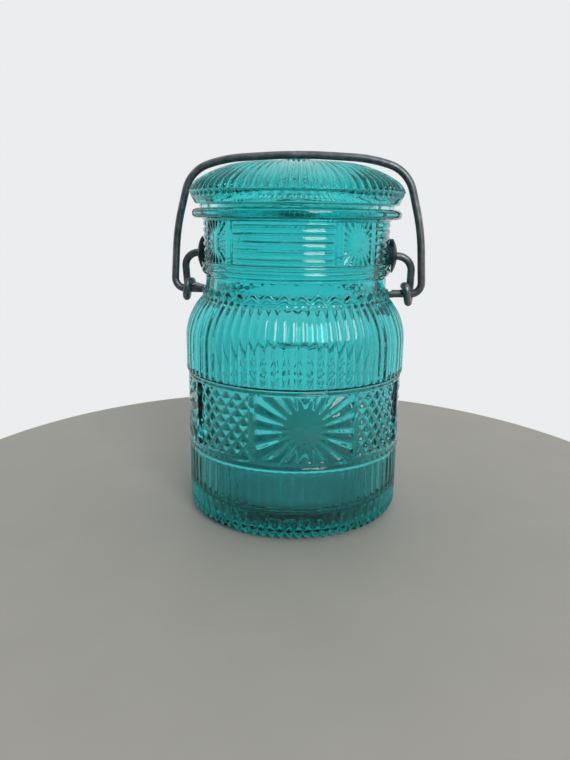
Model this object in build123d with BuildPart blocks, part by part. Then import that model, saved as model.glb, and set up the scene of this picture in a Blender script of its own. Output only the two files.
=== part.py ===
from build123d import *

import os
from math import asin, cos, radians, sin, sqrt, tan

# Bail clamp jar: a pressed glass jar whose domed glass lid is held by a wire bail.
# Millimetres, +Z up. The origin is on the jar's axis, in the plane that it stands on.
# The clamp's pivots lie along X, and the lever's hoop goes round the back, at +Y.

# ---- jar ----------------------------------------------------------------------------
BASE_RADIUS = 46.9
FOOT_FILLET = 5.2
WAIST_RADIUS = 46.7  # the patterned band is drawn in slightly
WAIST_Z = 40.0
BODY_RADIUS = 47.5
SHOULDER_Z = 76.2  # the shoulder starts to turn in here
SHOULDER_FALL = 24.5  # radius of the shoulder's curve
NECK_RADIUS = 38.7
NECK_FLARE = 0.9  # the shoulder stops this much wider than the neck
NECK_FILLET = 3.0
BEAD_Z = 105.6  # round bead between neck and collar
BEAD_RADIUS = 40.3
BEAD_HALF_HEIGHT = 2.4
COLLAR_RADIUS = 39.5
FLANGE_RADIUS = 44.0
FLANGE_BOTTOM_Z = 125.9
RIM_Z = 129.8  # the face that the gasket seals on
FLANGE_EDGE = 1.6
MOUTH_RADIUS = 34.2
WALL = 4.2
FLOOR_Z = 9.0  # thick pressed base
FLOOR_FILLET = 7.0
TOLERANCE = 0.01  # for picking an edge by its radius

# ---- clamp wire and pivots ----------------------------------------------------------
WIRE_RADIUS = 1.6
PIVOT_Z = 111.3
PIVOT_CLEARANCE = 0.08
BOSS_RADIUS = 6.4
BOSS_FACE_X = 40.5  # clear of the bead below
BOSS_ROOT_X = 35.2  # inside the collar's glass
DIMPLE_DEPTH = 4.3
WIRE_END_GAP = 0.4
DISC_RADIUS = 7.0
DISC_RISE = 2.2  # how far the dished disc stands out from its rim
DISC_THICKNESS = 0.9
SKIRT_WALL = 0.5  # the disc's rim goes back round the boss, close to the collar's glass
SKIRT_REACH = 2.0
SKIRT_LAP = 0.2
SKIRT_GAP = 0.15

LEVER_LEG_X = 49.1
LEVER_BEND = 6.4
EYE_Z = 95.5
EYE_RADIUS = 3.6  # centreline of the eye that the bail hooks into
EYE_BEND = 3.5  # its two lower bends, just inside the centreline's radius
EYE_TOP_BEND = 2.2  # the eye closes tighter where it runs into the hoop
EYE_LEAD = 1.0  # sideways step of the eye's wire over each straight stretch
HOOP_FALL = 13.0  # degrees that the hoop slopes down towards the back
# Corners of the hoop's right half, in its own plane: (x, reach behind the eyes, bend radius).
HOOP_CORNERS = ((46.2, 1.0, 6.0), (50.0, 12.0, 28.0), (46.2, 30.5, 28.0), (25.0, 52.4, 38.0))

BAIL_FOOT_X = 53.9
BAIL_STUB_X = 41.2
BAIL_FOOT_BEND = 4.5
# Corners of the bail's right half above its foot: (x, rise above the eyes, bend radius).
BAIL_CORNERS = ((52.1, 26.0, 90.0), (45.8, 49.9, 15.0), (30.5, 54.8, 60.0))
BAIL_RISE = 56.6
BAIL_CROWN = 230.0

# ---- lid and gasket -----------------------------------------------------------------
GASKET_THICKNESS = 1.55
SEAL_GAP = 0.05
LID_SEAT_Z = RIM_Z + SEAL_GAP + GASKET_THICKNESS
LID_EDGE_RADIUS = 43.0
LID_EDGE_CHAMFER = 0.8
LID_RIDGE_RADIUS = 45.0
LID_RIDGE_Z = 136.7
RIDGE_HALF_HEIGHT = 1.0
RIDGE_ROUNDING = 0.35
DOME_POINTS = ((40.9, 141.65), (32.2, 145.8), (21.5, 147.9))  # (radius, z) up the dome
DOME_START = (-0.5, 1)  # its direction above the ridge
LID_CROWN_RADIUS = 10.5
LID_CROWN_Z = 148.2
LID_BOSS_RADIUS = 8.8
LID_BOSS_FOOT = 0.4
LID_BOSS_TAPER = 0.5
LID_BOSS_CHAMFER = (1.1, 0.6)
BAIL_GAP = 1.05  # under the crossbar's highest corner
LID_BOSS_TOP_Z = EYE_Z + BAIL_RISE - WIRE_RADIUS - BAIL_GAP
PLUG_RADIUS = 33.4
PLUG_BOTTOM_Z = 126.5
PLUG_FILLET = 1.5
LID_HOLLOW_RADIUS = 28.5
LID_HOLLOW_WALL_Z = 133.5
LID_HOLLOW_SHOULDER = (20.5, 140.7)
LID_HOLLOW_TOP_Z = 143.3
GASKET_OUTER_RADIUS = 40.8

os.makedirs("parts", exist_ok=True)


def publish(builder, label):
    """Labels a finished piece and writes it as its own STEP file."""
    builder.part.label = label
    export_step(builder.part, f"parts/{label}.step")


def mirrored_path(half):
    """A path's right half, followed by its mirror image in X, ending where it began."""
    return half + [(-x, y, z) for x, y, z in reversed(half)]


def wire_along(points, radii):
    """Round clamp wire along straight runs joined by tangent arcs."""
    with BuildPart() as wire:
        with BuildLine() as path:
            FilletPolyline(*points, radius=radii)
        with BuildSketch(Plane(origin=path.line @ 0, z_dir=path.line % 0)):
            Circle(WIRE_RADIUS)
        sweep(path=path.line)
    return wire


# ---- jar body -----------------------------------------------------------------------
# The shoulder's curve is an arc about (shoulder_x, SHOULDER_Z), down to shoulder_end_z.
shoulder_x = BODY_RADIUS - SHOULDER_FALL
shoulder_end_r = NECK_RADIUS + NECK_FLARE
shoulder_end_z = SHOULDER_Z + sqrt(SHOULDER_FALL**2 - (shoulder_end_r - shoulder_x) ** 2)
neck_start_z = shoulder_end_z + NECK_FILLET
cavity_radius = BODY_RADIUS - WALL
cavity_fall = SHOULDER_FALL - WALL
cavity_end_z = SHOULDER_Z + sqrt(cavity_fall**2 - (MOUTH_RADIUS - shoulder_x) ** 2)

with BuildPart() as jar_body:
    with BuildSketch(Plane.XZ):
        with BuildLine():
            Line((0, 0), (BASE_RADIUS - FOOT_FILLET, 0))
            foot = RadiusArc(
                (BASE_RADIUS - FOOT_FILLET, 0), (BASE_RADIUS, FOOT_FILLET), -FOOT_FILLET
            )
            side = Spline(
                foot @ 1,
                (WAIST_RADIUS, WAIST_Z),
                (BODY_RADIUS, SHOULDER_Z),
                tangents=((0, 1), (0, 1)),
            )
            shoulder = TangentArc(side @ 1, (shoulder_end_r, shoulder_end_z), tangent=side % 1)
            neck = Spline(
                shoulder @ 1, (NECK_RADIUS, neck_start_z), tangents=(shoulder % 1, (0, 1))
            )
            Line(neck @ 1, (NECK_RADIUS, BEAD_Z - BEAD_HALF_HEIGHT))
            bead = ThreePointArc(
                (NECK_RADIUS, BEAD_Z - BEAD_HALF_HEIGHT),
                (BEAD_RADIUS, BEAD_Z),
                (COLLAR_RADIUS, BEAD_Z + BEAD_HALF_HEIGHT),
            )
            Polyline(
                bead @ 1,
                (COLLAR_RADIUS, FLANGE_BOTTOM_Z - FLANGE_EDGE),
                (COLLAR_RADIUS + FLANGE_EDGE, FLANGE_BOTTOM_Z),
                (FLANGE_RADIUS, FLANGE_BOTTOM_Z),
                (FLANGE_RADIUS, RIM_Z),
                (MOUTH_RADIUS, RIM_Z),
                (MOUTH_RADIUS, cavity_end_z),
            )
            cavity_shoulder = RadiusArc(
                (MOUTH_RADIUS, cavity_end_z), (cavity_radius, SHOULDER_Z), cavity_fall
            )
            Polyline(cavity_shoulder @ 1, (cavity_radius, FLOOR_Z), (0, FLOOR_Z), (0, 0))
        make_face()
    revolve(axis=Axis.Z)
    fillet(
        jar_body.edges()
        .filter_by(GeomType.CIRCLE)
        .filter_by(lambda e: abs(e.radius - FLANGE_RADIUS) < TOLERANCE),
        radius=FLANGE_EDGE,
    )
    fillet(
        jar_body.edges()
        .filter_by(GeomType.CIRCLE)
        .filter_by(lambda e: abs(e.radius - cavity_radius) < TOLERANCE)
        .sort_by(Axis.Z)[0],
        radius=FLOOR_FILLET,
    )
    # Round bosses on the collar, each with the dimple that a wire end turns in.
    for side_sign in (-1, 1):
        outwards = (side_sign, 0, 0)
        with BuildSketch(Plane((side_sign * BOSS_ROOT_X, 0, PIVOT_Z), z_dir=outwards)):
            Circle(BOSS_RADIUS)
        extrude(amount=BOSS_FACE_X - BOSS_ROOT_X)
        with BuildSketch(Plane((side_sign * BOSS_FACE_X, 0, PIVOT_Z), z_dir=outwards)):
            Circle(WIRE_RADIUS + PIVOT_CLEARANCE)
        extrude(amount=-DIMPLE_DEPTH, mode=Mode.SUBTRACT)
publish(jar_body, "jar_body")

# ---- pivot discs --------------------------------------------------------------------
# Dished steel washers, trapped between each boss and the wire that passes through.
# The section is drawn as (distance from the jar's axis, distance from the pivot's axis).
disc_face_x = BOSS_FACE_X + DISC_RISE
disc_back_x = disc_face_x - DISC_THICKNESS
disc_hole = WIRE_RADIUS + PIVOT_CLEARANCE
disc_middle = (DISC_RADIUS + disc_hole) / 2
pivot_axis = Axis((0, 0, PIVOT_Z), (1, 0, 0))
for label, side_sign in (("pivot_disc_left", -1), ("pivot_disc_right", 1)):
    with BuildPart() as pivot_disc:
        with BuildSketch(
            Plane((0, 0, PIVOT_Z), x_dir=(side_sign, 0, 0), z_dir=(0, -side_sign, 0))
        ):
            with BuildLine():
                outer = ThreePointArc(
                    (BOSS_FACE_X + DISC_THICKNESS / 2, DISC_RADIUS),
                    (disc_face_x - DISC_RISE / 4, disc_middle),
                    (disc_face_x, disc_hole),
                )
                Line(outer @ 1, (disc_back_x, disc_hole))
                inner = ThreePointArc(
                    (disc_back_x, disc_hole),
                    (disc_back_x - DISC_RISE / 5, disc_middle - DISC_THICKNESS),
                    (BOSS_FACE_X, DISC_RADIUS - DISC_THICKNESS),
                )
                Polyline(inner @ 1, (BOSS_FACE_X, DISC_RADIUS), outer @ 0)
            make_face()
        revolve(axis=pivot_axis)
        with BuildPart(mode=Mode.PRIVATE) as skirt:
            with BuildSketch(
                Plane(
                    (side_sign * (BOSS_FACE_X + SKIRT_LAP), 0, PIVOT_Z),
                    x_dir=(0, 1, 0),
                    z_dir=(-side_sign, 0, 0),
                )
            ):
                Circle(DISC_RADIUS)
                Circle(DISC_RADIUS - SKIRT_WALL, mode=Mode.SUBTRACT)
            extrude(amount=SKIRT_LAP + SKIRT_REACH)
            with Locations((0, 0, PIVOT_Z)):
                Cylinder(COLLAR_RADIUS + SKIRT_GAP, 4 * DISC_RADIUS, mode=Mode.SUBTRACT)
            # It stops short of the bead.
            with Locations((0, 0, BEAD_Z + BEAD_HALF_HEIGHT + SKIRT_GAP)):
                Box(
                    2 * BOSS_FACE_X,
                    4 * DISC_RADIUS,
                    2 * DISC_RADIUS,
                    align=(Align.CENTER, Align.CENTER, Align.MAX),
                    mode=Mode.SUBTRACT,
                )
        add(skirt.part)
    publish(pivot_disc, label)

# ---- lever wire ---------------------------------------------------------------------
# From a dimple out through its disc, down the leg, round the eye, and back in a hoop.
hoop_cos, hoop_sin = cos(radians(HOOP_FALL)), sin(radians(HOOP_FALL))
eye_top_z = EYE_Z + EYE_RADIUS
eye_bottom_z = EYE_Z - EYE_RADIUS


def on_hoop(x, reach):
    """A point of the hoop's sloping plane, reach mm behind the eyes."""
    return (x, reach * hoop_cos, eye_top_z - reach * hoop_sin)


# The leg leans back so that it runs into the eye as a tangent.
leg_lean = asin(EYE_RADIUS / (PIVOT_Z - EYE_Z))
lever_points = mirrored_path(
    [
        (BOSS_FACE_X - DIMPLE_DEPTH + WIRE_END_GAP, 0, PIVOT_Z),
        (LEVER_LEG_X, 0, PIVOT_Z),
        (LEVER_LEG_X, (PIVOT_Z - eye_bottom_z) * tan(leg_lean), eye_bottom_z),
        (LEVER_LEG_X - EYE_LEAD, -EYE_RADIUS, eye_bottom_z),
        (LEVER_LEG_X - 2 * EYE_LEAD, -EYE_RADIUS, eye_top_z),
    ]
    + [on_hoop(x, reach) for x, reach, _ in HOOP_CORNERS]
)
eye_bends = [EYE_BEND, EYE_BEND, EYE_TOP_BEND]
lever_bends = [LEVER_BEND] + eye_bends + [bend for _, _, bend in HOOP_CORNERS]
lever_wire = wire_along(lever_points, lever_bends + lever_bends[::-1])
publish(lever_wire, "lever_wire")

# ---- bail wire ----------------------------------------------------------------------
# A single arch over the lid, whose two feet turn inwards through the lever's eyes.
bail_half = [(BAIL_STUB_X, 0, EYE_Z), (BAIL_FOOT_X, 0, EYE_Z)]
bail_half += [(x, 0, EYE_Z + rise) for x, rise, _ in BAIL_CORNERS]
bail_half_mirrored = mirrored_path(bail_half)[len(bail_half) :]
bail_points = bail_half + [(0, 0, EYE_Z + BAIL_RISE)] + bail_half_mirrored
bail_bends = [BAIL_FOOT_BEND] + [bend for _, _, bend in BAIL_CORNERS]
bail_wire = wire_along(bail_points, bail_bends + [BAIL_CROWN] + bail_bends[::-1])
publish(bail_wire, "bail_wire")

# ---- lid ----------------------------------------------------------------------------
with BuildPart() as lid:
    with BuildSketch(Plane.XZ):
        with BuildLine():
            band = Polyline(
                (PLUG_RADIUS, LID_SEAT_Z),
                (LID_EDGE_RADIUS - LID_EDGE_CHAMFER, LID_SEAT_Z),
                (LID_EDGE_RADIUS, LID_SEAT_Z + LID_EDGE_CHAMFER),
                (LID_RIDGE_RADIUS - RIDGE_ROUNDING, LID_RIDGE_Z - RIDGE_HALF_HEIGHT),
            )
            ridge = ThreePointArc(
                band @ 1,
                (LID_RIDGE_RADIUS, LID_RIDGE_Z),
                (LID_RIDGE_RADIUS - RIDGE_ROUNDING, LID_RIDGE_Z + RIDGE_HALF_HEIGHT),
            )
            dome = Spline(
                ridge @ 1,
                *DOME_POINTS,
                (LID_CROWN_RADIUS, LID_CROWN_Z),
                tangents=(DOME_START, (-1, 0)),
            )
            boss_top_r = LID_BOSS_RADIUS - LID_BOSS_TAPER
            boss = Polyline(
                dome @ 1,
                (LID_BOSS_RADIUS, LID_CROWN_Z + LID_BOSS_FOOT),
                (boss_top_r, LID_BOSS_TOP_Z - LID_BOSS_CHAMFER[1]),
                (boss_top_r - LID_BOSS_CHAMFER[0], LID_BOSS_TOP_Z),
                (0, LID_BOSS_TOP_Z),
                (0, LID_HOLLOW_TOP_Z),
            )
            hollow = Spline(
                boss @ 1,
                LID_HOLLOW_SHOULDER,
                (LID_HOLLOW_RADIUS, LID_HOLLOW_WALL_Z),
                tangents=((1, 0), (0, -1)),
            )
            Polyline(
                hollow @ 1,
                (LID_HOLLOW_RADIUS, PLUG_BOTTOM_Z),
                (PLUG_RADIUS, PLUG_BOTTOM_Z),
                (PLUG_RADIUS, LID_SEAT_Z),
            )
        make_face()
    revolve(axis=Axis.Z)
    fillet(lid.edges().filter_by(GeomType.CIRCLE).group_by(Axis.Z)[0], radius=PLUG_FILLET)
publish(lid, "lid")

# ---- gasket -------------------------------------------------------------------------
# A clear ring that fits round the lid's plug, so it lifts with the lid.
with BuildPart() as gasket:
    with BuildSketch(Plane.XY.offset(RIM_Z + SEAL_GAP)):
        Circle(GASKET_OUTER_RADIUS)
        Circle(PLUG_RADIUS + SEAL_GAP, mode=Mode.SUBTRACT)
    extrude(amount=GASKET_THICKNESS)
publish(gasket, "gasket")
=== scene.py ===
from math import cos, pi, radians, sin

import bpy
import numpy as np
from mathutils import Matrix, Vector


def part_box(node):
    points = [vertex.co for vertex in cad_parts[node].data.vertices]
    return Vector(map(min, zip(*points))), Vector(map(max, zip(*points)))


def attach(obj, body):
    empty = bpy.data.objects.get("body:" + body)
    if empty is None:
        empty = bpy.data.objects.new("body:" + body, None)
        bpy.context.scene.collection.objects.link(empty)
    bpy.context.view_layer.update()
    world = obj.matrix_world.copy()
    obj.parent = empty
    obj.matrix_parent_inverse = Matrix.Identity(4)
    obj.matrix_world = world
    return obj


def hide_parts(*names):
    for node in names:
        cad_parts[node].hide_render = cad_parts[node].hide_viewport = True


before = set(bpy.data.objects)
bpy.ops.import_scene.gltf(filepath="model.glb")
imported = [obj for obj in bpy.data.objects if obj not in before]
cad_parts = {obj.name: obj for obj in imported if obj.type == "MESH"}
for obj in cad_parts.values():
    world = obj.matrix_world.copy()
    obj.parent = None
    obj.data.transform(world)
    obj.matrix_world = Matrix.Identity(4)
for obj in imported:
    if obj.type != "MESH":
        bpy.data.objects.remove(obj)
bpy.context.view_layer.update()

# Bail clamp jar: the looks of a pressed teal glass jar, its fluted lid and its wire clamp.
# Sizes of the jar, lid and floor are in millimetres, as in the CAD model, and MM turns them into
# Blender's metres. The camera, the window light and texture scales are in metres.
# A turn is an angle in degrees about the jar's axis, 0 at the front (-Y) and 90 at +X.
MM = 0.001

jar_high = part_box("jar_body")[1] / MM
lid_low, lid_high = (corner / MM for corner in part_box("lid"))
disc_low, disc_high = (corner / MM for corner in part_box("pivot_disc_right"))

# ---- sizes of the jar ---------------------------------------------------------------
BODY_RADIUS = jar_high.x
RIM_Z = jar_high.z
RIBS = 76  # round the shoulder, the foot and the lid alike
RIB_COLUMNS = 8
FINE = RIBS * RIB_COLUMNS  # columns of the patterned stretches
PLAIN = FINE // 4  # columns of the smooth stretches
MIDDLE_ROWS = 4  # rings at the middle of the underside that need fewer columns
MIDDLE_STEP = 16  # they keep one column in this many
POLE_RING = 6.0  # radius of the ring next to a pole

BASE_RADIUS = BODY_RADIUS - 0.6
FOOT_FILLET = 5.2
FOOT_X = BASE_RADIUS - FOOT_FILLET
PUSH_UP = 1.0  # the underside is hollow by this much inside its ring of contact
PUSH_UP_RADIUS = 35.0
CONTACT_RADIUS = 38.5
CONTACT_RISE = 0.25  # of the push-up's edge, where the ring of contact takes over
RING_Z = 31.0
RING_HEIGHT = 0.45
RING_HALF_WIDTH = 0.75
RING_BOTTOM_Z = RING_Z - RING_HALF_WIDTH
RING_TOP_Z = RING_Z + RING_HALF_WIDTH
BAND_BOTTOM_Z = 33.9
BAND_TOP_Z = 60.6
LEDGE_Z = 62.6  # where the shoulder's ribs end above the band
BAND_RADIUS = BODY_RADIUS - 0.7  # level of the band's bars and points
SHOULDER_Z = 76.2
SHOULDER_FALL = 24.5  # radius of the shoulder's arc
SHOULDER_X = BODY_RADIUS - SHOULDER_FALL
NECK_RADIUS = 38.7
ZIGZAG_Z = 96.1
SKIRT_RADIUS = 40.05  # of the neck below the zigzag
SKIRT_HEIGHT = 2.6
BEAD_Z = 105.6
BEAD_RADIUS = 40.3
LOWER_BEAD_ROUND = 1.9  # the bead is one round ring with a smaller one on its back
UPPER_BEAD_ROUND = 1.2
COLLAR_RADIUS = 39.5
COLLAR_BOTTOM_Z = 108.6
COLLAR_TOP_Z = 125.2
FLANGE_RADIUS = 44.0
FLANGE_Z = RIM_Z - 3.9
FLANGE_EDGE = 1.7
FLANGE_COVE = 0.9
MOUTH_RADIUS = 34.2
MOUTH_EDGE = 0.8
CAVITY_RADIUS = 43.3
FLOOR_Z = 9.0
FLOOR_FILLET = 7.0

# ---- sizes of the relief ------------------------------------------------------------
SHOULDER_RIB_DEPTH = 0.55
RIB_FADE = 6.0  # the shoulder's ribs grow shallow over this height below the zigzag
RIB_LEFT = 0.45  # share of their depth that is left there
TOE_Z = 5.2
TOE_DEPTH = 1.9
NOTCH_DEPTH = 0.8  # a groove sets the toes off from the ribs above
NOTCH_Z = TOE_Z + 0.9
NOTCH_HALF_HEIGHT = 1.1
TOE_BLEND = 0.8  # the toes give way to the ribs over this height
LOWER_RIB_DEPTH = 0.5
LOWER_RIB_TIP = 0.6
RIB_END = 1.7  # the ribs' rounded ends are this long
LEDGE_DEPTH = 1.25
MARGIN_GROOVE = 0.55  # a groove under the ribs' ends sets them off from the band
ZIGZAG = 1.1  # rise and fall of the line where the shoulder's glass steps in to the neck
ZIGZAG_STEP = 1.35
ZIGZAG_SLOPE = 0.5  # the step falls from this much above the line to this much below it
LIP_HEIGHT = 0.1
LIP_DROP = 0.8  # of the small lip below the line
LIP_WIDTH = 0.4
PANELS = 4  # of each kind, round the band and round the collar
BAND_TURN = 11.6  # of the middle of a starburst panel
BAND_STAR = 24.3  # half its width, in degrees
BAND_BAR = 3.3
BAR_HEIGHT = 0.2
BAR_EDGE = 0.6
PANEL_EDGE = 0.4  # the relief fades out over this width at a panel's edge
DIAMOND_HEIGHT = 1.1
DIAMOND_COLUMNS = 5
DIAMOND_ROWS = 4
DIAMOND_LINE = 0.2  # share of a diamond's half width that is the flat line round it
STAR_RAYS = 20
STAR_DEPTH = 1.2
STAR_CREST = 0.2  # share of a ray that is the flat crest between two grooves
STAR_DISC = 6.4  # smooth middle of the band's starburst
COLLAR_TURN = -2.4  # of the middle of a reeded panel
COLLAR_REEDED = 30.7  # half its width, in degrees
COLLAR_BAR = 4.3
REEDS = 6
REED_DEPTH = 0.5
REED_TIP = 1.3  # the reeds' rounded ends are this long
REED_FLAT = 0.2
REED_ROUND = 0.6  # share by which the edge of a reed stays lower at its rounded end
COLLAR_STAR_DEPTH = 0.6
COLLAR_STAR_DISC = 3.4
BOSS_RADIUS = 6.4
BOSS_FACE_X = disc_low.x
DIMPLE_RADIUS = 2.0
DIMPLE_DEPTH = 4.3
PIVOT_Z = (disc_low.z + disc_high.z) / 2

# ---- sizes of the lid ---------------------------------------------------------------
RIDGE_RADIUS = lid_high.x
LID_TOP_Z = lid_high.z
PLUG_BOTTOM_Z = lid_low.z
SEAT_Z = RIM_Z + 1.6
LID_EDGE_RADIUS = 43.0
EDGE_ROUND = 0.9  # of the band's lower edge, the ridge and the boss
RIDGE_Z = 136.7
CROWN_RADIUS = 10.5
CROWN_Z = 148.2
CROWN_COVE = 0.8
PLUG_RADIUS = 33.4
PLUG_ROUND = 1.6
HOLLOW_RADIUS = 28.5
FLUTE_DEPTH = 1.55
ROPE_BOTTOM_Z = 134.1
ROPE_DEPTH = 0.6


# ---- meshes turned about the jar's axis ---------------------------------------------
# A section is a list of rows, each a (radius, z). Every row becomes a ring of the mesh.
def arc(centre, radius, start, end, steps):
    """Rows along an arc of a section, angles in degrees from the outward direction."""
    angles = np.radians(np.linspace(start, end, steps + 1))
    return np.stack([centre[0] + radius * np.cos(angles), centre[1] + radius * np.sin(angles)], 1)


def straight(start, end, steps):
    """Rows along a straight line of a section, both ends included."""
    share = np.linspace(0, 1, steps + 1)[:, None]
    return np.array(start) * (1 - share) + np.array(end) * share


def curve(points, steps):
    """Rows along a smooth line through a few points of a section."""
    points = np.array(points, float)
    ends = np.concatenate([[2 * points[0] - points[1]], points, [2 * points[-1] - points[-2]]])
    rows = []
    for a, b, c, d in zip(ends, ends[1:], ends[2:], ends[3:]):
        for t in np.arange(steps) / steps:
            bend = (2 * a - 5 * b + 4 * c - d) * t**2 + (3 * b - a - 3 * c + d) * t**3
            rows.append(b + ((c - a) * t + bend) / 2)
    return np.array(rows + [points[-1]])


def outwards(rows):
    """The unit normal of each row of a section whose outside is on its right."""
    along = np.gradient(rows, axis=0)
    normal = np.stack([along[:, 1], -along[:, 0]], 1)
    return normal / np.maximum(np.linalg.norm(normal, axis=1, keepdims=True), 1e-9)


def rings(rows, columns, relief=None):
    """One ring of points for each row, raised along the row's normal by relief(turn, row)."""
    turn = np.arange(columns) * 360 / columns
    around = np.radians(turn)
    made = []
    for row, normal in zip(rows, outwards(rows)):
        height = relief(turn, row) if relief else np.zeros(columns)
        radius = row[0] + height * normal[0]
        z = row[1] + height * normal[1]
        made.append(np.stack([radius * np.sin(around), -radius * np.cos(around), z], 1))
    return made


def joined(low, high, first_low, first_high):
    """Faces between two rings of low and high points, where one count divides the other."""
    n, m = min(low, high), max(low, high) // min(low, high)
    if m == 1:
        i = np.arange(n)
        j = (i + 1) % n
        return np.stack([first_low + i, first_low + j, first_high + j, first_high + i], 1).tolist()
    coarse, fine = (first_low, first_high) if low <= high else (first_high, first_low)
    faces = []
    for i in range(n):
        a, b = coarse + i, coarse + (i + 1) % n
        for k in range(m):
            near = a if k < m / 2 else b
            p, q = fine + i * m + k, fine + (i * m + k + 1) % (n * m)
            faces.append([near, q, p])
        faces.append([a, b, fine + i * m + (m + 1) // 2])
    return faces if low <= high else [face[::-1] for face in faces]


def turned(name, loops):
    """A closed mesh object through rings of points, with a pole at each end."""
    counts = [len(loop) for loop in loops]
    first = np.concatenate([[0], np.cumsum(counts)])
    points = np.concatenate(loops)
    poles = [[0, 0, loops[0][0, 2]], [0, 0, loops[-1][0, 2]]]
    points = np.concatenate([points, poles]) * MM
    start, end = len(points) - 2, len(points) - 1
    faces = []
    for k in range(len(loops) - 1):
        faces += joined(counts[k], counts[k + 1], int(first[k]), int(first[k + 1]))
    n = counts[0]
    faces += [[start, (i + 1) % n, i] for i in range(n)]
    n, last = counts[-1], int(first[-2])
    faces += [[end, last + i, last + (i + 1) % n] for i in range(n)]
    mesh = bpy.data.meshes.new(name)
    mesh.from_pydata(points.tolist(), [], faces)
    mesh.validate()
    mesh.polygons.foreach_set("use_smooth", [True] * len(mesh.polygons))
    piece = bpy.data.objects.new(name, mesh)
    bpy.context.scene.collection.objects.link(piece)
    return piece


# ---- relief -------------------------------------------------------------------------
def ramp(value, start, end):
    """0 at start and 1 at end, with smooth ends."""
    t = np.clip((value - start) / (end - start), 0, 1)
    return t * t * (3 - 2 * t)


def offset_from(turn, middle, repeats):
    """Signed degrees from the nearest of the evenly spaced middles."""
    step = 360 / repeats
    return (turn - middle + step / 2) % step - step / 2


def rib_place(turn):
    """Place across a rib, from -1 at one valley through 0 at its crest to 1 at the next."""
    return offset_from(turn, 0, RIBS) / (180 / RIBS)


def ribbed(turn, depth):
    """Convex ribs with sharp valleys."""
    return -depth * rib_place(turn) ** 2


def starburst(x, z, half_width, half_height, depth, disc):
    """Grooves that widen from a smooth disc to the edges of a panel; x and z from its middle."""
    angle = np.degrees(np.arctan2(z, x))
    across = np.abs(offset_from(angle, 180 / STAR_RAYS, STAR_RAYS)) / (180 / STAR_RAYS)
    reach = np.hypot(x, z)
    grown = np.clip((reach - disc) / (half_width - disc), 0, 1)
    groove = np.clip(1 - across / (1 - STAR_CREST), 0, 1) * grown
    edge = np.minimum(half_width - np.abs(x), half_height - np.abs(z))
    return -depth * groove * ramp(edge, 0, PANEL_EDGE)


def diamonds(x, z, pitch, rise, height):
    """Raised points on a diagonal lattice of flat lines; x and z from a point's middle."""
    u = np.abs((x / pitch + z / rise + 0.5) % 1 - 0.5) * 2
    v = np.abs((x / pitch - z / rise + 0.5) % 1 - 0.5) * 2
    slope = np.clip(1 - np.maximum(u, v) - DIAMOND_LINE, 0, 1) / (1 - DIAMOND_LINE)
    return height * (slope - 1)


def band_lattice(turn, rise_z, half_height):
    """The raised points of the band's diamond panels, rise_z above the band's middle."""
    degree = BAND_RADIUS * pi / 180
    half = 180 / PANELS - BAND_STAR - BAND_BAR
    from_lattice = offset_from(turn, BAND_TURN + 180 / PANELS, PANELS)
    pitch = 2 * half / DIAMOND_COLUMNS * degree
    rise = 2 * half_height / DIAMOND_ROWS
    points = diamonds(from_lattice * degree, rise_z, pitch, rise, DIAMOND_HEIGHT)
    inside = (half - np.abs(from_lattice)) * degree
    under_top = half_height - abs(rise_z)
    return points * (inside > 0) * ramp(inside, 0, 0.3) * ramp(under_top, 0, PANEL_EDGE)


def band_relief(turn, row):
    """The starburst panels, bars and diamond panels of the body's band."""
    degree = BAND_RADIUS * pi / 180
    half_height = (BAND_TOP_Z - BAND_BOTTOM_Z) / 2
    rise_z = row[1] - (BAND_BOTTOM_Z + BAND_TOP_Z) / 2
    from_star = offset_from(turn, BAND_TURN, PANELS)
    half_width = BAND_STAR * degree
    star = starburst(from_star * degree, rise_z, half_width, half_height, STAR_DEPTH, STAR_DISC)
    lattice = band_lattice(turn, rise_z, half_height)
    from_bar = np.abs(np.abs(from_star) - BAND_STAR - BAND_BAR / 2) * degree
    half_bar = BAND_BAR * degree / 2
    bar = BAR_HEIGHT * (1 - ramp(from_bar, half_bar - BAR_EDGE, half_bar))
    return np.where(np.abs(from_star) < BAND_STAR, star, lattice) + bar


def foot_relief(turn, row):
    """The ribs of the lower body and, below a groove, the deeper toes of the foot."""
    radius, z = row
    under = ramp(radius, FOOT_X - 1.5, FOOT_X + 1)
    toes = 1 - ramp(z, TOE_Z, TOE_Z + TOE_BLEND)
    notch = NOTCH_DEPTH * max(0, 1 - abs(z - NOTCH_Z) / NOTCH_HALF_HEIGHT)
    top = ramp(RING_BOTTOM_Z - z, 0, LOWER_RIB_TIP)
    depth = LOWER_RIB_DEPTH + (TOE_DEPTH - LOWER_RIB_DEPTH) * toes
    return ribbed(turn, depth * under * top) - notch


def ring_relief(turn, row):
    """The round ring between the lower body and the band."""
    share = (row[1] - RING_Z) / RING_HALF_WIDTH
    return np.full_like(turn, RING_HEIGHT * np.sqrt(max(0, 1 - share**2)))


def margin_relief(turn, row):
    """The groove above the band, under the ends of the shoulder's ribs."""
    return np.full_like(turn, -MARGIN_GROOVE * ramp(row[1], BAND_TOP_Z + 0.4, LEDGE_Z - 0.6))


def rib_end_relief(turn, row):
    """The rounded lower ends of the shoulder's ribs, which stand out over a ledge."""
    bottom = LEDGE_Z + RIB_END * rib_place(turn) ** 2
    raised = ramp(row[1], bottom - 0.3, bottom + 0.4)
    return -LEDGE_DEPTH * (1 - raised) + ribbed(turn, SHOULDER_RIB_DEPTH) * raised


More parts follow.
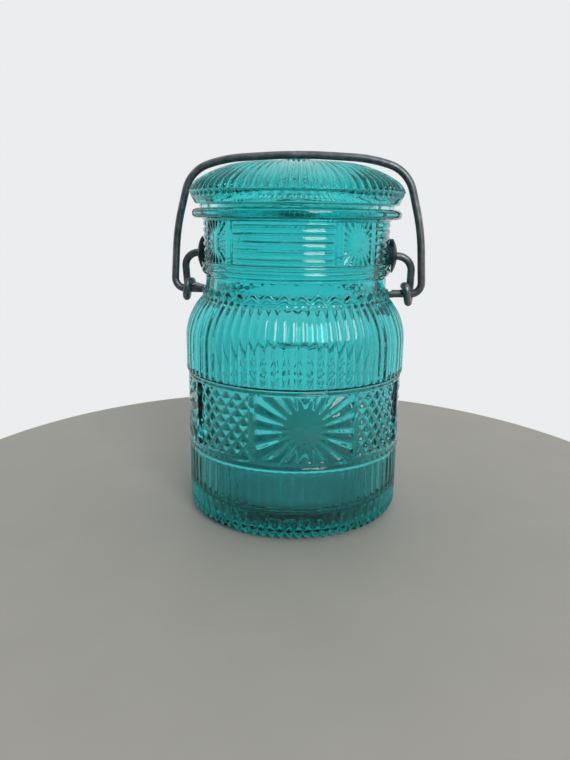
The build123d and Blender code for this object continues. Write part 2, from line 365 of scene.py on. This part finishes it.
def shoulder_relief(turn, row):
    """The shoulder's ribs, and the zigzag line where its glass steps in to the neck."""
    z = row[1]
    top = ZIGZAG_Z + ZIGZAG * np.cos(np.radians(turn) * RIBS / 2)
    ended = ramp(z, top - ZIGZAG_SLOPE, top + ZIGZAG_SLOPE)
    lip = LIP_HEIGHT * np.exp(-(((top - LIP_DROP - z) / LIP_WIDTH) ** 2))
    fade = RIB_LEFT + (1 - RIB_LEFT) * ramp(top - z, 0.2, RIB_FADE)
    return ribbed(turn, SHOULDER_RIB_DEPTH * fade) + lip - ZIGZAG_STEP * ended


def body_relief(turn, row):
    """Everything below the collar, from the foot up to the neck."""
    z = row[1]
    if z < RING_BOTTOM_Z:
        return foot_relief(turn, row)
    if z < RING_TOP_Z:
        return ring_relief(turn, row)
    if z <= BAND_BOTTOM_Z:
        return np.zeros_like(turn)
    if z < BAND_TOP_Z:
        return band_relief(turn, row)
    if z < LEDGE_Z - 0.4:
        return margin_relief(turn, row)
    if z < (LEDGE_Z + ZIGZAG_Z) / 2:
        return rib_end_relief(turn, row)
    return shoulder_relief(turn, row)


def collar_reeds(turn, z):
    """The collar's level reeds, rounded at their ends."""
    height = COLLAR_TOP_Z - COLLAR_BOTTOM_Z
    from_reeded = offset_from(turn, COLLAR_TURN, PANELS)
    inside = (COLLAR_REEDED - np.abs(from_reeded)) * COLLAR_RADIUS * pi / 180
    reed = ((z - COLLAR_BOTTOM_Z) / height * REEDS) % 1 * 2 - 1
    tip = 1 - ramp(inside, REED_FLAT, REED_TIP) * (1 - REED_ROUND * reed**2)
    return -REED_DEPTH * np.maximum(reed**2, tip) * (inside > 0)


def panel_relief(turn, z):
    """The collar's reeded panels, plain bars and starburst panels."""
    degree = COLLAR_RADIUS * pi / 180
    half_height = (COLLAR_TOP_Z - COLLAR_BOTTOM_Z) / 2
    rise_z = z - (COLLAR_BOTTOM_Z + COLLAR_TOP_Z) / 2
    from_star = offset_from(turn, COLLAR_TURN + 180 / PANELS, PANELS)
    half_width = (180 / PANELS - COLLAR_REEDED - COLLAR_BAR) * degree
    depth, disc = COLLAR_STAR_DEPTH, COLLAR_STAR_DISC
    star = starburst(from_star * degree, rise_z, half_width, half_height, depth, disc)
    from_reeded = offset_from(turn, COLLAR_TURN, PANELS)
    return np.where(np.abs(from_reeded) < COLLAR_REEDED, collar_reeds(turn, z), star)


def collar_relief(turn, row):
    """The collar's panels, and on each side a round flat boss with its dimple."""
    radius, z = row
    panels = panel_relief(turn, z) if COLLAR_BOTTOM_Z < z < COLLAR_TOP_Z else np.zeros_like(turn)
    around = np.radians(turn)
    side = np.maximum(np.abs(np.sin(around)), 0.5)
    face = BOSS_FACE_X / side - radius
    reach = np.hypot(COLLAR_RADIUS * np.cos(around), z - PIVOT_Z)
    boss = 1 - ramp(reach, BOSS_RADIUS - 0.2, BOSS_RADIUS + 0.3)
    dimple = 1 - ramp(reach, DIMPLE_RADIUS - 0.3, DIMPLE_RADIUS)
    return panels * (1 - boss) + (face - DIMPLE_DEPTH * dimple) * boss


# ---- glass pieces -------------------------------------------------------------------
def foot_rows():
    """The underside, the rounded foot and the lower body, up to the ring."""
    underside = curve(
        [
            (POLE_RING, PUSH_UP),
            (24, PUSH_UP),
            (PUSH_UP_RADIUS, PUSH_UP),
            (CONTACT_RADIUS, CONTACT_RISE),
        ],
        3,
    )
    foot = arc((FOOT_X, FOOT_FILLET), FOOT_FILLET, -90, 0, 12)
    lower = straight((BASE_RADIUS, FOOT_FILLET), (BAND_RADIUS, RING_BOTTOM_Z), 14)
    return np.concatenate([underside, foot[:-1], lower[:-1]])


def band_rows():
    """The ring, the cove above it, the patterned band and the plain margin."""
    ring = straight((BAND_RADIUS, RING_BOTTOM_Z), (BAND_RADIUS, RING_TOP_Z), 8)
    cove = straight((BAND_RADIUS, RING_TOP_Z), (BAND_RADIUS, BAND_BOTTOM_Z), 4)
    band = straight((BAND_RADIUS, BAND_BOTTOM_Z), (BAND_RADIUS, BAND_TOP_Z), 72)
    margin = straight((BAND_RADIUS, BAND_TOP_Z), (BAND_RADIUS, LEDGE_Z - 0.5), 8)
    return np.concatenate([ring[:-1], cove[:-1], band[:-1], margin])


def shoulder_rows():
    """The ledge, the ribbed wall, the round shoulder and the skirt round the neck."""
    ledge_top = LEDGE_Z + RIB_END + 0.6
    ledge = straight((BODY_RADIUS, LEDGE_Z - 0.3), (BODY_RADIUS, ledge_top), 13)
    wall = straight((BODY_RADIUS, ledge_top), (BODY_RADIUS, SHOULDER_Z), 7)
    turn_in = np.degrees(np.arcsin((ZIGZAG_Z - SKIRT_HEIGHT - SHOULDER_Z) / SHOULDER_FALL))
    shoulder = arc((SHOULDER_X, SHOULDER_Z), SHOULDER_FALL, 0, turn_in, 16)
    skirt = curve([shoulder[-1], (SKIRT_RADIUS, ZIGZAG_Z - 1.3), (SKIRT_RADIUS, ZIGZAG_Z + 1.5)], 12)
    return np.concatenate([ledge[:-1], wall[:-1], shoulder[:-1], skirt])


def neck_rows():
    """The neck above the zigzag, and the double bead under the collar."""
    lower_x = BEAD_RADIUS - LOWER_BEAD_ROUND
    upper_x = BEAD_RADIUS - UPPER_BEAD_ROUND - 0.1
    return np.concatenate([
        straight((NECK_RADIUS, ZIGZAG_Z + 2.1), (NECK_RADIUS, BEAD_Z - 2.8), 6),
        arc((lower_x, BEAD_Z - 0.6), LOWER_BEAD_ROUND, -62, 52, 7),
        arc((upper_x, BEAD_Z + 1.9), UPPER_BEAD_ROUND, -50, 60, 6),
    ])


def flange_rows():
    """The rounded flange, its flat top and the edge of the mouth."""
    edge_x = FLANGE_RADIUS - FLANGE_EDGE
    return np.concatenate([
        arc((COLLAR_RADIUS + 1, FLANGE_Z - FLANGE_COVE), FLANGE_COVE, 180, 95, 4),
        arc((edge_x, FLANGE_Z + FLANGE_EDGE), FLANGE_EDGE, -85, 0, 7),
        arc((edge_x, RIM_Z - FLANGE_EDGE), FLANGE_EDGE, 0, 90, 7),
        straight((40, RIM_Z), (MOUTH_RADIUS + 1, RIM_Z), 4),
        arc((MOUTH_RADIUS + MOUTH_EDGE, RIM_Z - MOUTH_EDGE), MOUTH_EDGE, 100, 180, 4),
    ])


def inside_rows():
    """The mouth's bore, the inside of the shoulder and wall, and the floor."""
    fall = SHOULDER_FALL - (BODY_RADIUS - CAVITY_RADIUS)
    inner_turn = np.degrees(np.arccos((MOUTH_RADIUS - SHOULDER_X) / fall))
    inner_top_z = SHOULDER_Z + fall * sin(radians(inner_turn))
    fillet_z = FLOOR_Z + FLOOR_FILLET
    return np.concatenate([
        straight((MOUTH_RADIUS, RIM_Z - 2), (MOUTH_RADIUS, inner_top_z + 1), 8),
        arc((SHOULDER_X, SHOULDER_Z), fall, inner_turn, 0, 12),
        straight((CAVITY_RADIUS, SHOULDER_Z - 4), (CAVITY_RADIUS, fillet_z + 1), 10),
        arc((CAVITY_RADIUS - FLOOR_FILLET, fillet_z), FLOOR_FILLET, 0, -90, 8),
        straight((30, FLOOR_Z), (POLE_RING, FLOOR_Z), 4),
    ])


def make_jar():
    """The pressed glass jar, turned from the underside up the outside and down the inside."""
    body = np.concatenate([foot_rows(), band_rows(), shoulder_rows()])
    collar = straight((COLLAR_RADIUS, COLLAR_BOTTOM_Z - 0.1), (COLLAR_RADIUS, COLLAR_TOP_Z), 48)
    loops = rings(body, FINE, body_relief)
    loops[:MIDDLE_ROWS] = [loop[::MIDDLE_STEP] for loop in loops[:MIDDLE_ROWS]]
    loops += rings(neck_rows(), PLAIN)
    loops += rings(collar, FINE, collar_relief)
    loops += rings(flange_rows(), PLAIN)
    loops += rings(inside_rows(), PLAIN)
    return turned("glass_jar", loops)


def lid_relief(turn, row):
    """Convex flutes down the dome, which shrink towards the crown and stop at the ridge."""
    radius, z = row
    if z < RIDGE_Z - 0.5:
        rope = ramp(z, ROPE_BOTTOM_Z, ROPE_BOTTOM_Z + 0.5) * ramp(RIDGE_Z - z, 0.5, 0.9)
        return ribbed(turn, ROPE_DEPTH * rope)
    start = ramp(radius, CROWN_RADIUS - 0.6, CROWN_RADIUS + 1.5)
    end = ramp(z, RIDGE_Z - 0.3, RIDGE_Z + 0.7)
    return ribbed(turn, FLUTE_DEPTH * (radius / RIDGE_RADIUS) ** 0.8 * start * end)


def plug_rows():
    """The round plug under the lid, from the hollow's mouth round to the seat."""
    round_z = PLUG_BOTTOM_Z + PLUG_ROUND
    return np.concatenate([
        straight((HOLLOW_RADIUS, 132), (HOLLOW_RADIUS, 128.4), 3),
        arc((30.4, round_z), PLUG_ROUND, -170, -95, 4),
        arc((PLUG_RADIUS - PLUG_ROUND, round_z), PLUG_ROUND, -85, 0, 4),
        straight((PLUG_RADIUS, 129), (PLUG_RADIUS, SEAT_Z - 0.2), 3),
    ])


def seat_rows():
    """The flat seat on the gasket, and the rounded lower edge of the lid's band."""
    edge_x = LID_EDGE_RADIUS - EDGE_ROUND
    return np.concatenate([
        straight((34, SEAT_Z), (42, SEAT_Z), 5),
        arc((edge_x, SEAT_Z + EDGE_ROUND), EDGE_ROUND, -80, -22, 4),
    ])


def dome_rows():
    """The undercut band, the ridge and the dome up to the crown."""
    band = straight((LID_EDGE_RADIUS + 0.2, SEAT_Z + 1.3), (RIDGE_RADIUS - 0.35, RIDGE_Z - 0.8), 12)
    ridge = arc((RIDGE_RADIUS - EDGE_ROUND, RIDGE_Z), EDGE_ROUND, -30, 40, 6)
    edge = [(44.35, 138.3), (42.8, 140.2), (40.9, 141.65), (38.2, 143.2), (35.1, 144.7)]
    middle = [(32.2, 145.8), (28.9, 146.9), (24.8, 147.7), (21.5, 147.95), (15, 148.15)]
    dome = curve([*edge, *middle, (CROWN_RADIUS, CROWN_Z)], 4)
    return np.concatenate([band, ridge, dome])


def boss_rows():
    """The boss on the crown that the bail passes over."""
    return np.concatenate([
        arc((9.6, CROWN_Z + CROWN_COVE), CROWN_COVE, -100, -175, 3),
        straight((8.7, CROWN_Z + 1.1), (8.5, LID_TOP_Z - EDGE_ROUND), 2),
        arc((7.6, LID_TOP_Z - EDGE_ROUND), EDGE_ROUND, 0, 85, 5),
        straight((6.5, LID_TOP_Z), (2, LID_TOP_Z), 3),
    ])


def make_lid():
    """The pressed glass lid, turned from its hollow down, round the plug and up the dome."""
    hollow = curve([(POLE_RING, 143.2), (20.5, 140.7), (27.3, 136.4), (HOLLOW_RADIUS, 133.0)], 5)
    loops = rings(hollow, PLAIN) + rings(plug_rows(), PLAIN) + rings(seat_rows(), PLAIN)
    loops += rings(dome_rows(), FINE, lid_relief)
    loops += rings(boss_rows(), PLAIN)
    return turned("glass_lid", loops)


# ---- materials ----------------------------------------------------------------------
GLASS_IOR = 1.5
GLASS_SURFACE = (0.51, 0.85, 0.865)  # what each face lets through
GLASS_TINT = (0.0, 0.94, 0.935)  # colour that the depth of the glass lets through
GLASS_DENSITY = 185.0  # how soon it does, per metre
LID_SURFACE = (0.68, 0.92, 0.915)
LID_DENSITY = 75.0
CORD_SHADE = 0.94  # of the glass along its faint upright cords
CORD_SCALE = 60.0
CORD_STRETCH = (1, 1, 0.35)
HAZE = 0.035  # roughness of the glass where it is most worn
HAZE_SCALE = 900.0
WAVE_SCALE = 260.0  # of the pressed glass's uneven surface
WAVE_STRENGTH = 0.2
WAVE_HEIGHT = 0.0004
SEAL_IOR = 1.45
SEAL_SCALE = 300.0
# the seal's cloudy colours: their teal is painted light, the colour of light through the glass round
# it, not the seal's own
SEAL_CLOUD_AND_PAINTED_GLASS_LIGHT = ((0.42, 0.90, 0.90), (0.60, 0.96, 0.96))
SEAL_ROUGHNESS = (0.04, 0.12)
STEEL_METALLIC = 0.85
STEEL_ROUGHNESS = (0.32, 0.5)
MOTTLE_SCALE = 260.0
GRAIN_SCALE = 900.0
GRAIN_STRENGTH = 0.25
GRAIN_HEIGHT = 0.0001
# Dark, light and worn bright.
WIRE_STEEL = ((0.14, 0.155, 0.17), (0.22, 0.235, 0.255), (0.38, 0.38, 0.39))
DISC_STEEL = ((0.02, 0.035, 0.045), (0.06, 0.08, 0.095), (0.15, 0.15, 0.15))


def grey(value):
    """A grey of one value, which also stands for a plain number such as a roughness."""
    return (value, value, value)


def scaled(colour, share):
    """A colour, darker or paler by a share."""
    return tuple(share * part for part in colour)


def new_material(name):
    """A new material, its nodes and links, and its Principled shader."""
    material = bpy.data.materials.new(name)
    material.use_nodes = True
    nodes = material.node_tree.nodes
    return material, nodes, material.node_tree.links, nodes["Principled BSDF"]


def noise(nodes, links, scale, detail, stretch=(1, 1, 1)):
    """A noise texture in the object's own coordinates, in metres."""
    place = nodes.new("ShaderNodeTexCoord")
    mapping = nodes.new("ShaderNodeMapping")
    mapping.inputs["Scale"].default_value = stretch
    texture = nodes.new("ShaderNodeTexNoise")
    texture.inputs["Scale"].default_value = scale
    texture.inputs["Detail"].default_value = detail
    links.new(place.outputs["Object"], mapping.inputs["Vector"])
    links.new(mapping.outputs["Vector"], texture.inputs["Vector"])
    return texture.outputs["Fac"]


def blended(nodes, links, factor, *stops):
    """Colours along a factor; each stop is (place, (r, g, b))."""
    ramp_node = nodes.new("ShaderNodeValToRGB")
    elements = ramp_node.color_ramp.elements
    while len(elements) < len(stops):
        elements.new(0.5)
    for element, (place, colour) in zip(elements, stops):
        element.position = place
        element.color = (*colour, 1)
    links.new(factor, ramp_node.inputs["Fac"])
    return ramp_node.outputs["Color"]


def bumped(nodes, links, shader, height, strength, distance):
    """Gives a shader a bump from a height."""
    bump = nodes.new("ShaderNodeBump")
    bump.inputs["Strength"].default_value = strength
    bump.inputs["Distance"].default_value = distance
    links.new(height, bump.inputs["Height"])
    links.new(bump.outputs["Normal"], shader.inputs["Normal"])


def glass_material(name, surface, tint, density):
    """Pressed glass: tinted through its depth, with faint cords and a touch of haze."""
    material, nodes, links, shader = new_material(name)
    shader.inputs["Transmission Weight"].default_value = 1
    shader.inputs["IOR"].default_value = GLASS_IOR
    cords = noise(nodes, links, CORD_SCALE, 3, CORD_STRETCH)
    tinted = blended(nodes, links, cords, (0.3, scaled(surface, CORD_SHADE)), (0.7, surface))
    links.new(tinted, shader.inputs["Base Color"])
    haze = noise(nodes, links, HAZE_SCALE, 4)
    rough = blended(nodes, links, haze, (0.45, grey(0.0)), (0.75, grey(HAZE)))
    links.new(rough, shader.inputs["Roughness"])
    waves = noise(nodes, links, WAVE_SCALE, 3)
    bumped(nodes, links, shader, waves, WAVE_STRENGTH, WAVE_HEIGHT)
    absorption = nodes.new("ShaderNodeVolumeAbsorption")
    absorption.inputs["Color"].default_value = (*tint, 1)
    absorption.inputs["Density"].default_value = density
    links.new(absorption.outputs["Volume"], nodes["Material Output"].inputs["Volume"])
    return material


def steel_material(name, dark, light, wear):
    """Dark oxidised steel: mottled and grainy, with brighter worn patches."""
    material, nodes, links, shader = new_material(name)
    mottle = noise(nodes, links, MOTTLE_SCALE, 5)
    mottled = blended(nodes, links, mottle, (0.35, dark), (0.6, light), (0.78, wear))
    links.new(mottled, shader.inputs["Base Color"])
    shader.inputs["Metallic"].default_value = STEEL_METALLIC
    grain = noise(nodes, links, GRAIN_SCALE, 3)
    smooth, rough = (grey(value) for value in STEEL_ROUGHNESS)
    roughness = blended(nodes, links, grain, (0.3, smooth), (0.7, rough))
    links.new(roughness, shader.inputs["Roughness"])
    bumped(nodes, links, shader, grain, GRAIN_STRENGTH, GRAIN_HEIGHT)
    return material


def seal_material():
    """A clear soft seal, a little cloudy, with the teal of the light that comes through the glass
    round it painted into its colour.
    """
    material, nodes, links, shader = new_material("clear_seal")
    cloud = noise(nodes, links, SEAL_SCALE, 3)
    deep, pale = SEAL_CLOUD_AND_PAINTED_GLASS_LIGHT
    # painted teal light from the glass round the seal, clouded
    clouded_with_painted_glass_light = blended(nodes, links, cloud, (0.3, deep), (0.7, pale))
    links.new(clouded_with_painted_glass_light, shader.inputs["Base Color"])
    smooth, rough = (grey(value) for value in SEAL_ROUGHNESS)
    roughness = blended(nodes, links, cloud, (0.3, smooth), (0.7, rough))
    links.new(roughness, shader.inputs["Roughness"])
    shader.inputs["Transmission Weight"].default_value = 1.0
    shader.inputs["IOR"].default_value = SEAL_IOR
    return material


def dress(node, material):
    """Gives a CAD node's object a material of its own."""
    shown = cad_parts[node]
    if not shown.material_slots:
        shown.data.materials.append(material)
    for slot in shown.material_slots:
        slot.link = "OBJECT"
        slot.material = material


# ---- camera, light and stage --------------------------------------------------------
CAMERA_TURN = 6.0
CAMERA_DISTANCE = 0.27966
CAMERA_HEIGHT = 0.12549
CAMERA_DIP = 14.05
CAMERA_YAW = 0.84
CAMERA_ROLL = 0.72
CAMERA_LENS = 30.3
SENSOR = 36.0
CLIP_START = 0.01

WINDOW_TURN = 30.0
WINDOW_DISTANCE = 1.1
WINDOW_HEIGHT = 0.75
WINDOW_SIZE = (0.5, 0.8)
WINDOW_RADIANCE = 7.0
WINDOW_COLOUR = (1.0, 0.99, 0.97)
AIM_HEIGHT = 0.08  # the window light faces this point of the jar's axis

ROOM_SLANT = (0.10, 0.90, 0.30)  # points towards the pale end of the room
ROOM_FRONT = (0.10, 0.135, 0.14)
ROOM_BACK = (0.83, 0.845, 0.855)
ROOM_FRONT_END = -0.6  # the room is at its dimmest below this share of the slant
ROOM_BACK_START = 0.35

FLOOR_RADIUS = 190.0
FLOOR_THICKNESS = 16.0
FLOOR_MIDDLE = 20.0  # radius of the ring next to a pole
FLOOR_COLOUR = (0.35, 0.335, 0.305)
FLOOR_PALER = 1.04  # the share by which its grain is paler in places
FLOOR_SCALE = 30.0
FLOOR_ROUGHNESS = 0.6
LIGHT_BOUNCES = 20


def around_jar(turn, distance, height):
    """A place at a turn round the jar's axis."""
    angle = radians(turn)
    return Vector((distance * sin(angle), -distance * cos(angle), height))


def make_camera():
    """The camera, in front of the jar and a little to its right, looking slightly down."""
    data = bpy.data.cameras.new("camera")
    data.lens = CAMERA_LENS
    data.sensor_width = SENSOR
    data.clip_start = CLIP_START
    camera = bpy.data.objects.new("camera", data)
    bpy.context.scene.collection.objects.link(camera)
    place = around_jar(CAMERA_TURN, CAMERA_DISTANCE, CAMERA_HEIGHT)
    aim = (
        Matrix.Rotation(radians(CAMERA_TURN + CAMERA_YAW), 4, "Z")
        @ Matrix.Rotation(radians(90 - CAMERA_DIP), 4, "X")
        @ Matrix.Rotation(radians(CAMERA_ROLL), 4, "Z")
    )
    camera.matrix_world = Matrix.Translation(place) @ aim
    bpy.context.scene.camera = camera


def make_window():
    """The soft light of a window, hidden from the camera itself."""
    width, height = WINDOW_SIZE
    data = bpy.data.lights.new("window", "AREA")
    data.shape = "RECTANGLE"
    data.size = width
    data.size_y = height
    data.energy = WINDOW_RADIANCE * pi * width * height
    data.color = WINDOW_COLOUR
    light = bpy.data.objects.new("window", data)
    bpy.context.scene.collection.objects.link(light)
    light.location = around_jar(WINDOW_TURN, WINDOW_DISTANCE, WINDOW_HEIGHT)
    towards = Vector((0, 0, AIM_HEIGHT)) - light.location
    light.rotation_euler = towards.to_track_quat("-Z", "Y").to_euler()
    light.visible_camera = False


def make_world():
    """A studio that is pale behind the jar and overhead, and dimmer on the camera's side."""
    world = bpy.data.worlds.new("room")
    world.use_nodes = True
    bpy.context.scene.world = world
    nodes, links = world.node_tree.nodes, world.node_tree.links
    direction = nodes.new("ShaderNodeTexCoord")
    slant = nodes.new("ShaderNodeVectorMath")
    slant.operation = "DOT_PRODUCT"
    slant.inputs[1].default_value = ROOM_SLANT
    links.new(direction.outputs["Generated"], slant.inputs[0])
    share = nodes.new("ShaderNodeMapRange")
    share.inputs["From Min"].default_value = ROOM_FRONT_END
    share.inputs["From Max"].default_value = ROOM_BACK_START
    links.new(slant.outputs["Value"], share.inputs["Value"])
    colour = blended(nodes, links, share.outputs["Result"], (0.0, ROOM_FRONT), (1.0, ROOM_BACK))
    links.new(colour, nodes["Background"].inputs["Color"])


def floor_material():
    """A plain pale surface with a faint grain."""
    material, nodes, links, shader = new_material("floor")
    grain = noise(nodes, links, FLOOR_SCALE, 2)
    paler = scaled(FLOOR_COLOUR, FLOOR_PALER)
    grained = blended(nodes, links, grain, (0.3, FLOOR_COLOUR), (0.7, paler))
    links.new(grained, shader.inputs["Base Color"])
    shader.inputs["Roughness"].default_value = FLOOR_ROUGHNESS
    return material


def make_floor():
    """A plain pale round table top."""
    edge = FLOOR_THICKNESS / 2
    edge_x = FLOOR_RADIUS - edge
    rows = np.concatenate([
        straight((FLOOR_MIDDLE, -FLOOR_THICKNESS), (edge_x, -FLOOR_THICKNESS), 4),
        arc((edge_x, -edge), edge, -85, 85, 12),
        straight((edge_x, 0), (FLOOR_MIDDLE, 0), 8),
    ])
    floor = turned("floor", rings(rows, PLAIN))
    floor.data.materials.append(floor_material())


# ---- the whole scene ----------------------------------------------------------------
jar = make_jar()
jar.data.materials.append(glass_material("teal_glass", GLASS_SURFACE, GLASS_TINT, GLASS_DENSITY))
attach(jar, "jar")
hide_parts("jar_body")

lid = make_lid()
lid.data.materials.append(glass_material("teal_glass_lid", LID_SURFACE, GLASS_TINT, LID_DENSITY))
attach(lid, "lid")
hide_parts("lid")

wire_steel = steel_material("dark_steel_wire", *WIRE_STEEL)
disc_steel = steel_material("pivot_steel", *DISC_STEEL)
dress("lever_wire", wire_steel)
dress("bail_wire", wire_steel)
dress("pivot_disc_left", disc_steel)
dress("pivot_disc_right", disc_steel)
dress("gasket", seal_material())

make_floor()
make_world()
make_window()
make_camera()

bpy.context.scene.view_settings.view_transform = "Standard"
bpy.context.scene.cycles.max_bounces = LIGHT_BOUNCES
bpy.context.scene.cycles.transmission_bounces = LIGHT_BOUNCES
